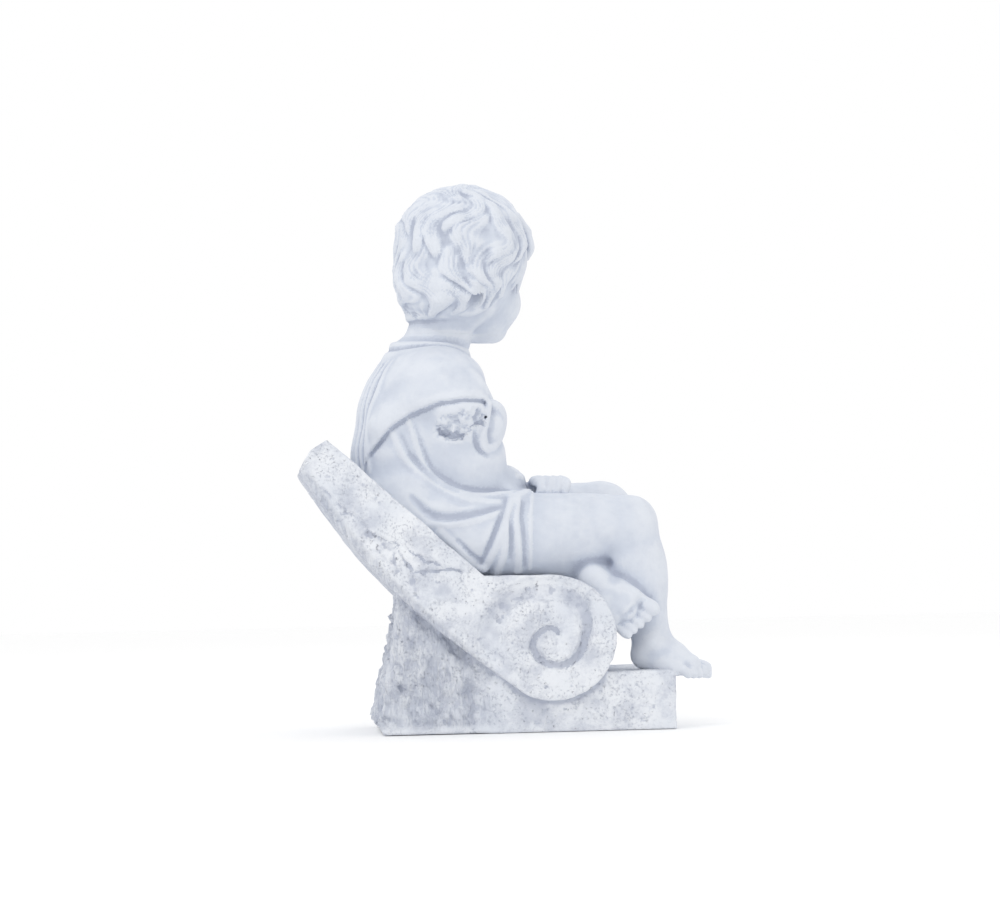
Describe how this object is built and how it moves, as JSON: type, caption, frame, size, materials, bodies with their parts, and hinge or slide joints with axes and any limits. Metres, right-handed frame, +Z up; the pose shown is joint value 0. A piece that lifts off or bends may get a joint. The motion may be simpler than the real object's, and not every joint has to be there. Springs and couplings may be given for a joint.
{
  "type": "seated boy statue",
  "caption": "Pale stone statue of a draped boy with crossed feet, seated on a scrolled console with a rough rock and a base slab.",
  "frame": {"origin": "on the underside of the base, below the middle of the statue's length and width", "axes": "+Z up; +X the way that the boy's chest and feet face; +Y to the boy's left"},
  "size_m": [0.5142, 0.26, 0.6926],
  "materials": {
    "pale_stone": "matte, weathered and pitted on the stonework"
  },
  "bodies": {
    "root": {"seated_boy_statue": "pale_stone"}
  },
  "joints": []
}
